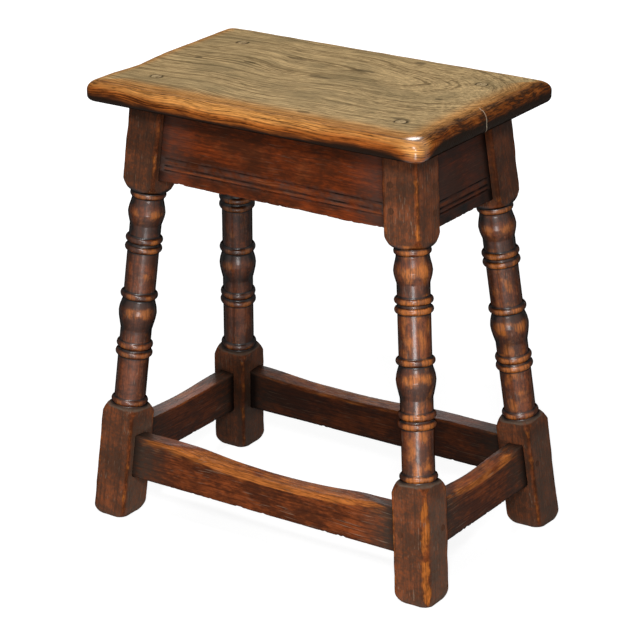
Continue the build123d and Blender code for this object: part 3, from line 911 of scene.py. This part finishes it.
def new_group(name, inputs, outputs):
    """An empty shader group, as its shading, the sockets that give and those that take results.

    inputs and outputs give each socket's kind by its name.
    """
    tree = bpy.data.node_groups.new(name, "ShaderNodeTree")
    for way, sockets in (("INPUT", inputs), ("OUTPUT", outputs)):
        for socket, kind in sockets.items():
            tree.interface.new_socket(name=socket, in_out=way, socket_type=KINDS[kind])
    shading = Shading(tree)
    given, result = tree.nodes.new("NodeGroupInput"), tree.nodes.new("NodeGroupOutput")
    return shading, given.outputs, result.inputs


def figure_group():
    """Oak's own figure: growth lines that follow the pith, fibres, and short dark pores."""
    shading, given, result = new_group(
        "oak figure",
        {"Wood": "vector", "Early Wood": "colour", "Late Wood": "colour", "Line Spacing": "value",
         "Line Strength": "value", "Fibre Strength": "value", "Wander": "value"},
        {"Color": "colour", "Height": "value", "Line": "value"})
    wood = given["Wood"]
    wander = shading.grain("wander", wood, 3)
    fibre = shading.grain("fibre", wood, 3, 0.65)
    streak = shading.grain("streak", wood, 3, 0.6)
    pore = shading.grain("pore", wood)
    dash = shading.grain("dash", wood)

    # Growth lines: bands of noise at the line spacing out from the pith, broken into dashes.
    from_pith, round_pith, along = shading.split(wood)
    moved = shading.math("MULTIPLY_ADD", wander, given["Wander"], from_pith)
    rings = shading.math("DIVIDE", moved, given["Line Spacing"])
    rows = shading.joined(rings, shading.math("MULTIPLY", round_pith, BAND_WAVES[0]),
                          shading.math("MULTIPLY", along, BAND_WAVES[1]))
    band = shading.noise(rows, 2.5, 0.65)
    broken = shading.math("MULTIPLY_ADD", shading.math("SUBTRACT", dash, 0.5), 0.45, band)
    line = shading.ramp(broken, 0.48, 0.64)
    shade = shading.math("MULTIPLY", line, given["Line Strength"])
    lined = shading.mix(shade, given["Early Wood"], given["Late Wood"])

    # Fibres, streaks and pores lighten and darken that by as much as Fibre Strength says.
    grain = shading.ramp(fibre, 0.30, 0.70, 0.58, 1.36)
    soft = shading.ramp(streak, 0.3, 0.7, 0.80, 1.22)
    holes = shading.ramp(pore, 0.57, 0.66, 1.0, 0.50)
    both = shading.math("MULTIPLY", shading.math("MULTIPLY", grain, soft), holes)
    change = shading.math("SUBTRACT", both, 1.0)
    tone = shading.math("MULTIPLY_ADD", change, given["Fibre Strength"], 1.0)
    grey = shading.node("CombineColor")
    for socket in grey.inputs[:3]:
        shading.put(socket, tone)
    shading.put(result["Color"], shading.mix(1.0, lined, grey.outputs[0], "MULTIPLY"))
    rise = shading.math("MULTIPLY_ADD", line, -0.55, shading.math("MULTIPLY", fibre, 0.6))
    shading.put(result["Height"], shading.math("MULTIPLY_ADD", holes, 0.5, rise))
    shading.put(result["Line"], line)


def worn_group():
    """Where a mask shows through once broken up by streaks along the grain and by patches."""
    shading, given, result = new_group(
        "worn streaks", {"Wood": "vector", "Mask": "value", "Break Up": "value", "Patch": "value",
                         "Shortness": "value", "Softness": "value"},
        {"Worn": "value"})
    stretch = shading.joined(*WORN_WAVES, given["Shortness"])
    streak = shading.noise(shading.scaled(given["Wood"], stretch), 3, 0.6)
    patch = shading.grain("patch", given["Wood"], 3)
    uneven = shading.math("MULTIPLY", shading.math("SUBTRACT", streak, 0.5), given["Break Up"])
    spots = shading.math("MULTIPLY", shading.math("SUBTRACT", patch, 0.5), given["Patch"])
    total = shading.math("ADD", shading.math("ADD", uneven, spots), given["Mask"])
    from_middle = shading.math("SUBTRACT", total, 0.51)
    share = shading.math("DIVIDE", from_middle, given["Softness"])
    shading.put(result["Worn"], shading.ramp(share, -1.0, 1.0))


def patina_group():
    """Cloudy change from bare wood to old dark polish, and dull grime in the corners."""
    shading, given, result = new_group(
        "patina", {"Color": "colour", "Wood": "vector", "Polish Colour": "colour",
                   "Polish": "value", "Grime Colour": "colour", "Grime": "value"},
        {"Color": "colour", "Dullness": "value"})
    cloud = shading.grain("cloud", given["Wood"], 4, 0.6)
    speck = shading.grain("speck", given["Wood"], 3)
    dark = shading.ramp(shading.math("MULTIPLY_ADD", speck, 0.40, cloud), 0.50, 0.84)
    polished = shading.mix(shading.math("MULTIPLY", dark, given["Polish"]), given["Color"],
                           given["Polish Colour"])
    caught = shading.math("MULTIPLY", shading.ramp(speck, 0.25, 0.6, 0.55, 1.0), given["Grime"])
    shading.put(result["Color"], shading.mix(caught, polished, given["Grime Colour"]))
    shading.put(result["Dullness"], caught)


def scratch_group():
    """Sparse thin pale scratches that run mostly along a piece."""
    shading, given, result = new_group(
        "scratches", {"Wood": "vector", "Amount": "value"}, {"Scratch": "value"})
    thin = shading.grain("scratch", given["Wood"], 1)
    where = shading.grain("scratched place", given["Wood"])
    sparse = shading.math("MULTIPLY", shading.ramp(thin, 0.61, 0.70),
                          shading.ramp(where, 0.46, 0.62))
    shading.put(result["Scratch"], shading.math("MULTIPLY", sparse, given["Amount"]))


for build_group in (figure_group, worn_group, patina_group, scratch_group):
    build_group()


# ---------------------------------------------------------------- colours and finishes
# The seat: bare wood of its top and of its worn edge, each with its growth lines, then what
# weather, dirt, polish and grime put over them.
TOP_OAK = (0.510, 0.355, 0.172)
TOP_LINES = (0.105, 0.066, 0.028)
EDGE_OAK = (0.58, 0.255, 0.065)
EDGE_LINES = (0.055, 0.020, 0.007)
WEATHERED = (0.215, 0.165, 0.085)
SMUDGE = (0.060, 0.044, 0.026)
RED_POLISH = (0.075, 0.023, 0.008)
BLACK_POLISH = (0.014, 0.007, 0.004)
END_CRACKS = (0.012, 0.008, 0.005)
PEG_RIM = (0.018, 0.012, 0.008)
PALE_SPLIT = (0.62, 0.50, 0.36)

# Tints that multiply the wood under them; the last two are painted shade, on the seat's right end and
# on its side toward below.
WARM_TINT = (1.25, 0.86, 0.55)
BROWN_TINT = (0.52, 0.36, 0.26)
END_SHADE_TINT = (0.36, 0.29, 0.26)
SHADE_TINT = (0.64, 0.42, 0.29)

# The frame: scratches, and the black of its corners and grooves, which also paints shade and a shadow
# under the seat.
SCRATCHED = (0.24, 0.15, 0.10)
BLACK_AND_SHADE = (0.007, 0.004, 0.003)

# Depth of the grain, and roughness of the coats of polish on the frame and on the seat's corner.
GRAIN_DEPTH = 0.6 * MM
FRAME_COAT_ROUGHNESS = 0.29
CORNER_COAT_ROUGHNESS = 0.25

# Pegs of the seat and of the frame.
PALE_PEG, PALE_PEG_LINES = (0.46, 0.335, 0.175), (0.16, 0.10, 0.05)
DARK_PEG, DARK_PEG_LINES = (0.090, 0.036, 0.018), (0.034, 0.014, 0.008)

# What differs between the dark oaks of the frame: colours of the wood, its growth lines, bare
# rubbed wood, polish and grime; spacing and strength of the lines; how blotchy, short and soft
# the wear's streaks are; gloss of the coat; strength of the fibres and of the scratches.
FRAME_FINISHES = {
    "oak_leg": dict(
        name="polished leg oak", light=(0.250, 0.062, 0.017), late=(0.034, 0.011, 0.005),
        worn_light=(0.43, 0.128, 0.024), polish=(0.030, 0.010, 0.004),
        grime=(0.135, 0.094, 0.068), spacing=0.0026, lines=0.55, blotch=0.70, shortness=60,
        softness=0.30, gloss=0.8, fibre=0.5, scratched=0.6),
    "oak_frieze": dict(
        name="polished frieze oak", light=(0.215, 0.039, 0.008), late=(0.032, 0.009, 0.004),
        worn_light=(0.24, 0.060, 0.018), polish=(0.034, 0.012, 0.005),
        grime=(0.088, 0.052, 0.042), spacing=0.0030, lines=0.4, blotch=0.7, shortness=22,
        softness=0.30, gloss=0.04, fibre=0.6, scratched=0.22),
    "oak_stretcher": dict(
        name="polished stretcher oak", light=(0.255, 0.060, 0.016), late=(0.028, 0.008, 0.003),
        worn_light=(0.44, 0.135, 0.030), polish=(0.026, 0.009, 0.005),
        grime=(0.044, 0.036, 0.028), spacing=0.0024, lines=0.55, blotch=0.75, shortness=16,
        softness=0.36, gloss=0.08, fibre=0.6, scratched=0.6),
}


# ---------------------------------------------------------------- materials
def start_material(name):
    material = bpy.data.materials.new(name)
    material.use_nodes = True
    return material, Shading(material.node_tree), material.node_tree.nodes["Principled BSDF"]


def finish_oak(shading, surface, colour, roughness, height, strength, sheen=0.06):
    """Wires a colour, roughness and height into the surface shader."""
    bump = shading.node("Bump")
    shading.put(bump.inputs["Strength"], strength)
    shading.put(bump.inputs["Distance"], GRAIN_DEPTH)
    shading.put(bump.inputs["Height"], height)
    shading.put(surface.inputs["Base Color"], colour)
    shading.put(surface.inputs["Roughness"], roughness)
    facing = shading.node("LayerWeight").outputs["Facing"]
    shading.put(surface.inputs["Specular IOR Level"], shading.ramp(facing, 0.35, 0.75, sheen, 0.0))
    shading.put(surface.inputs["Normal"], bump.outputs["Normal"])


def seat_top(shading, wood, edge, cloud, figure):
    """Colour of the bare top: weathered in clouds, smudged, and warmer toward the edge."""
    colour = shading.mix(shading.ramp(cloud, 0.42, 0.66, 0.0, 0.45), figure, WEATHERED)
    spots = shading.group("worn streaks", Wood=wood, Mask=shading.attribute("dark"), Break_Up=1.1,
                          Patch=0.9, Shortness=60, Softness=0.21)
    colour = shading.mix(shading.math("MULTIPLY", spots["Worn"], 0.6), colour, SMUDGE)
    warm = shading.math("MULTIPLY", shading.ramp(edge, 0.0, 0.7), 0.85)
    return shading.mix(warm, colour, WARM_TINT, "MULTIPLY")


def seat_edge(shading, edgewise, end, cloud):
    """Colour of the worn edge: golden oak with dark lines, browner in places, and painted darker at
    the right end as painted shade.
    """
    figure = shading.group("oak figure", Wood=edgewise, Early_Wood=EDGE_OAK, Late_Wood=EDGE_LINES,
                           Line_Spacing=0.0021, Line_Strength=0.92, Fibre_Strength=1.1,
                           Wander=0.001)
    toned = shading.math("MULTIPLY", shading.attribute("toned"), 0.55)
    brown = shading.math("MAXIMUM", shading.ramp(cloud, 0.40, 0.62, 0.0, 0.40), toned)
    colour = shading.mix(brown, figure["Color"], BROWN_TINT, "MULTIPLY")
    # Painted shade on the right end.
    return shading.mix(shading.math("MULTIPLY", end, 0.8), colour, END_SHADE_TINT, "MULTIPLY")


def seat_side(shading, edgewise, drop, end, colour):
    """The seat's side over a colour: painted darker toward below as painted shade, then red and black
    with polish toward below.
    """
    lower = shading.math("ADD", drop, shading.math("MULTIPLY", end, 0.34))
    # Painted shade, deeper toward below and at the right end.
    colour = shading.mix(shading.ramp(lower, 0.14, 0.56), colour, SHADE_TINT, "MULTIPLY")
    red = shading.group("worn streaks", Wood=edgewise, Mask=shading.ramp(lower, 0.38, 0.98),
                        Break_Up=1.0, Patch=0.8, Shortness=20, Softness=0.42)
    colour = shading.mix(red["Worn"], colour, RED_POLISH)
    black = shading.group("worn streaks", Wood=edgewise, Mask=shading.ramp(lower, 0.56, 1.04),
                          Break_Up=0.7, Patch=0.5, Shortness=20, Softness=0.30)
    colour = shading.mix(black["Worn"], colour, BLACK_POLISH)
    dashes = shading.group("worn streaks", Wood=edgewise, Mask=shading.math("MULTIPLY", end, 0.5),
                           Break_Up=1.3, Patch=0.8, Shortness=90, Softness=0.16)
    return shading.mix(shading.math("MULTIPLY", dashes["Worn"], 0.85), colour, END_CRACKS)


def seat_oak():
    """Bare weathered top, golden worn edge with dark dashes, red-brown to black below."""
    material, shading, surface = start_material("weathered seat oak")
    wood, edgewise = [shading.attribute(name, "Vector") for name in ("wood", "rim")]
    edge, drop, end, polish = [
        shading.attribute(name) for name in ("edge", "drop", "end", "polish")]
    cloud = shading.grain("weather", wood, 4, 0.6)
    figure = shading.group("oak figure", Wood=wood, Early_Wood=TOP_OAK, Late_Wood=TOP_LINES,
                           Line_Spacing=0.0026, Line_Strength=0.60, Fibre_Strength=0.8,
                           Wander=0.0016)
    bare = shading.group("worn streaks", Wood=edgewise, Mask=shading.math("SUBTRACT", edge, 0.22),
                         Break_Up=1.0, Patch=0.5, Shortness=20, Softness=0.42)
    colour = shading.mix(bare["Worn"], seat_top(shading, wood, edge, cloud, figure["Color"]),
                         seat_edge(shading, edgewise, end, cloud))
    colour = seat_side(shading, edgewise, drop, end, colour)
    colour = shading.mix(peg_shadow(shading), colour, PEG_RIM)
    colour = shading.mix(hairline(shading), colour, PALE_SPLIT)
    shading.put(surface.inputs["Coat Weight"], shading.ramp(polish, 0.35, 0.95, 0.0, 0.8))
    surface.inputs["Coat Roughness"].default_value = CORNER_COAT_ROUGHNESS
    shiny = shading.math("MAXIMUM", polish, shading.math("MULTIPLY", edge, 0.25))
    roughness = shading.ramp(shiny, 0.0, 1.0, 0.68, 0.30)
    finish_oak(shading, surface, colour, roughness, figure["Height"], 0.5, 0.03)
    return material


def spread_from(shading, first, second):
    """Distance of a point from the origin of two of its coordinates."""
    total = shading.math("ADD", shading.math("MULTIPLY", first, first),
                         shading.math("MULTIPLY", second, second))
    return shading.math("SQRT", total)


def peg_shadow(shading):
    """Dark crescents at both sides of each of the four peg heads in the seat."""
    x, y, _ = shading.split(shading.place())
    along = shading.math("SUBTRACT", shading.math("ABSOLUTE", x), SEAT_PEG[0])
    across = shading.math("SUBTRACT", shading.math("ABSOLUTE", y), SEAT_PEG[1])
    away = spread_from(shading, along, across)
    rim = shading.math("MULTIPLY", shading.ramp(away, PEG_RADIUS - 0.6 * MM, PEG_RADIUS),
                       shading.ramp(away, PEG_RADIUS + 4.0 * MM, PEG_RADIUS + 0.4 * MM))
    aside = shading.ramp(shading.math("ABSOLUTE", along), 2.0 * MM, PEG_RADIUS, 0.20, 0.85)
    return shading.math("MULTIPLY", rim, aside)


def hairline(shading):
    """A pale hairline split that runs over the right end of the seat."""
    place = shading.place()
    x, y, _ = shading.split(place)
    wobble = shading.grain("wobble", place)
    line = shading.math("MULTIPLY_ADD", x, HAIRLINE_SLOPE, y)
    off = shading.math("SUBTRACT", line, HAIRLINE_OFFSET)
    off = shading.math("MULTIPLY_ADD", wobble, 4 * MM, off)
    thin = shading.ramp(shading.math("ABSOLUTE", off), 0.25 * MM, 0.75 * MM, 0.75, 0.0)
    return shading.math("MULTIPLY", thin, shading.ramp(x, SPLIT_START, SPLIT_START + 4 * MM))


def frame_oak(name, light, late, worn_light, polish, grime, spacing, lines, blotch, shortness,
              softness, gloss, fibre, scratched):
    """Dark polished oak that shows orange where it is rubbed and grey where dust lies."""
    material, shading, surface = start_material(name)
    wood = shading.attribute("wood", "Vector")
    figure = shading.group("oak figure", Wood=wood, Early_Wood=light, Late_Wood=late,
                           Line_Spacing=spacing, Line_Strength=lines, Fibre_Strength=fibre,
                           Wander=0.003)
    worn_late = tuple(value * 0.22 for value in worn_light)
    rubbed = shading.group("oak figure", Wood=wood, Early_Wood=worn_light, Late_Wood=worn_late,
                           Line_Spacing=spacing * 0.9, Line_Strength=1.15 * lines,
                           Fibre_Strength=fibre, Wander=0.003)
    worn = shading.group("worn streaks", Wood=wood, Mask=shading.attribute("wear"),
                         Break_Up=blotch, Patch=1.1, Shortness=shortness, Softness=softness)
    dusty = shading.group("patina", Color=figure["Color"], Wood=wood, Polish_Colour=polish,
                          Polish=0.8, Grime_Colour=grime, Grime=shading.attribute("dust"))
    colour = shading.mix(worn["Worn"], dusty["Color"], rubbed["Color"])
    scratch = shading.group("scratches", Wood=wood, Amount=scratched)
    colour = shading.mix(scratch["Scratch"], colour, SCRATCHED)
    # Black where the dark attribute says: corners, grooves and quirks, with painted shade and the
    # painted shadow under the seat.
    colour = shading.mix(shading.attribute("dark"), colour, BLACK_AND_SHADE)

    # The coat is left out toward the outline, where it would only mirror the white surroundings.
    shine = shading.math("SUBTRACT", shading.attribute("shine"),
                         shading.math("MULTIPLY", dusty["Dullness"], 0.5))
    facing = shading.node("LayerWeight").outputs["Facing"]
    coat = shading.math("MULTIPLY", shading.ramp(shine, 0.0, 1.0, 0.0, gloss),
                        shading.ramp(facing, 0.03, 0.42, 1.0, 0.0))
    shading.put(surface.inputs["Coat Weight"], coat)
    surface.inputs["Coat Roughness"].default_value = FRAME_COAT_ROUGHNESS
    roughness = shading.ramp(shine, 0.0, 1.0, 0.52, 0.34)
    dents = shading.grain("dent", wood, 3, 0.55)
    grain = shading.math("MULTIPLY", figure["Height"], 0.6)
    height = shading.math("MULTIPLY_ADD", dents, 1.2, grain)
    finish_oak(shading, surface, colour, roughness, height, 0.28, 0.04)
    return material


def peg_oak():
    """Pegs: the seat's are bare like the board, those in the frame dark like the legs."""
    material, shading, surface = start_material("peg oak")
    place = shading.place()
    bare = shading.group("oak figure", Wood=place, Early_Wood=PALE_PEG, Late_Wood=PALE_PEG_LINES,
                         Line_Spacing=0.0035, Line_Strength=0.7, Fibre_Strength=0.7, Wander=0.003)
    dark = shading.group("oak figure", Wood=place, Early_Wood=DARK_PEG, Late_Wood=DARK_PEG_LINES,
                         Line_Spacing=0.0025, Line_Strength=0.5, Fibre_Strength=0.4, Wander=0.003)
    top = shading.math("GREATER_THAN", shading.split(place)[2], SEAT_TOP - 3 * MM)
    colour = shading.mix(top, dark["Color"], bare["Color"])
    finish_oak(shading, surface, colour, 0.62, bare["Height"], 0.3)
    return material


MATERIALS = {"oak_seat": seat_oak()}
for slot, finish in FRAME_FINISHES.items():
    MATERIALS[slot] = frame_oak(**finish)
build_pieces()
peg_material = peg_oak()
for node_name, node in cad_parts.items():
    if "_peg_" in node_name:
        node.data.materials.clear()
        node.data.materials.append(peg_material)


# ---------------------------------------------------------------- floor, light and camera
FLOOR_REACH = 12.0
FLOOR_DROP = 0.4 * MM
FLOOR_GREY = (0.25, 0.25, 0.25)
WHITE = (1, 1, 1)
ROOM_LIGHT = 0.07

# Area lamps: place, what they are aimed at, width, height and power in watts.
LAMPS = {
    "key": ((1.66, -2.38, 2.05), (0, 0, 0.25), 0.45, 0.45, 62),
    "high": ((0.51, -1.58, 3.15), (0, 0, 0.25), 0.30, 0.30, 50),
    "low": ((0.98, -1.42, 0.07), (0, 0, 0.32), 0.40, 0.12, 9.0),
    "behind": ((-1.7, 2.3, 1.3), (0, 0, 0.25), 0.8, 0.8, 34),
}

# Camera: its place, the ways that its picture's right, down and depth run, its lens and sensor
# in millimetres, and the picture's shift.
CAMERA_PLACE = Vector((1.729461, -2.461236, 1.428125))
CAMERA_RIGHT = Vector((0.8213, 0.5703, -0.0165))
CAMERA_DOWN = Vector((0.1950, -0.3078, -0.9313))
CAMERA_FORWARD = Vector((-0.5361, 0.7616, -0.3640))
CAMERA_LENS = 154.84
CAMERA_SENSOR = 36.0
CAMERA_SHIFT = (0.0003, -0.0010)
CAMERA_FAR = 60


def seen_directly(shading):
    """1 for rays of the camera, of reflections and of glass."""
    path = shading.node("LightPath")
    mirrored = shading.math("MAXIMUM", path.outputs["Is Glossy Ray"],
                            path.outputs["Is Transmission Ray"])
    return shading.math("MAXIMUM", path.outputs["Is Camera Ray"], mirrored)


def make_floor():
    """A wide floor that looks white but lights nothing, a little dimmer round the stool."""
    mesh = bpy.data.meshes.new("floor")
    corners = [(x * FLOOR_REACH, y * FLOOR_REACH, 0) for x, y in ((-1, -1), (1, -1), (1, 1), (-1, 1))]
    mesh.from_pydata(corners, [], [(0, 1, 2, 3)])
    floor = bpy.data.objects.new("floor", mesh)
    floor.location.z = -FLOOR_DROP
    bpy.context.scene.collection.objects.link(floor)
    material, shading, surface = start_material("white floor")
    surface.inputs["Base Color"].default_value = (*FLOOR_GREY, 1)
    surface.inputs["Roughness"].default_value = 1.0
    surface.inputs["Specular IOR Level"].default_value = 0.0
    seen = seen_directly(shading)
    surface.inputs["Emission Color"].default_value = (*WHITE, 1)
    x, y, _ = shading.split(shading.place())
    strength = shading.ramp(spread_from(shading, x, y), 0.5, 1.6, 0.90, 1.0)
    shading.put(surface.inputs["Emission Strength"], shading.math("MULTIPLY", seen, strength))
    mesh.materials.append(material)


def make_world():
    """Surroundings that look white and give only a little light."""
    world = bpy.data.worlds.new("even white room")
    bpy.context.scene.world = world
    world.use_nodes = True
    shading = Shading(world.node_tree)
    background = world.node_tree.nodes["Background"]
    seen = seen_directly(shading)
    background.inputs["Color"].default_value = (*WHITE, 1)
    shading.put(background.inputs["Strength"], shading.ramp(seen, 0.0, 1.0, ROOM_LIGHT, 1.0))


def make_lamp(name, place, aim, width, height, watts):
    lamp = bpy.data.lights.new(name, "AREA")
    lamp.shape = "RECTANGLE"
    lamp.size, lamp.size_y, lamp.energy = width, height, watts
    holder = bpy.data.objects.new(name, lamp)
    holder.location = place
    holder.rotation_euler = (Vector(aim) - Vector(place)).to_track_quat("-Z", "Y").to_euler()
    bpy.context.scene.collection.objects.link(holder)


def make_camera():
    camera = bpy.data.objects.new("camera", bpy.data.cameras.new("camera"))
    turn = Matrix((CAMERA_RIGHT, -CAMERA_DOWN, -CAMERA_FORWARD)).transposed().to_4x4()
    camera.matrix_world = Matrix.Translation(CAMERA_PLACE) @ turn
    camera.data.lens, camera.data.sensor_width = CAMERA_LENS, CAMERA_SENSOR
    camera.data.shift_x, camera.data.shift_y = CAMERA_SHIFT
    camera.data.clip_end = CAMERA_FAR
    bpy.context.scene.collection.objects.link(camera)
    bpy.context.scene.camera = camera


make_floor()
make_world()
for lamp_name, settings in LAMPS.items():
    make_lamp(lamp_name, *settings)
make_camera()
bpy.context.scene.view_settings.view_transform = "Standard"
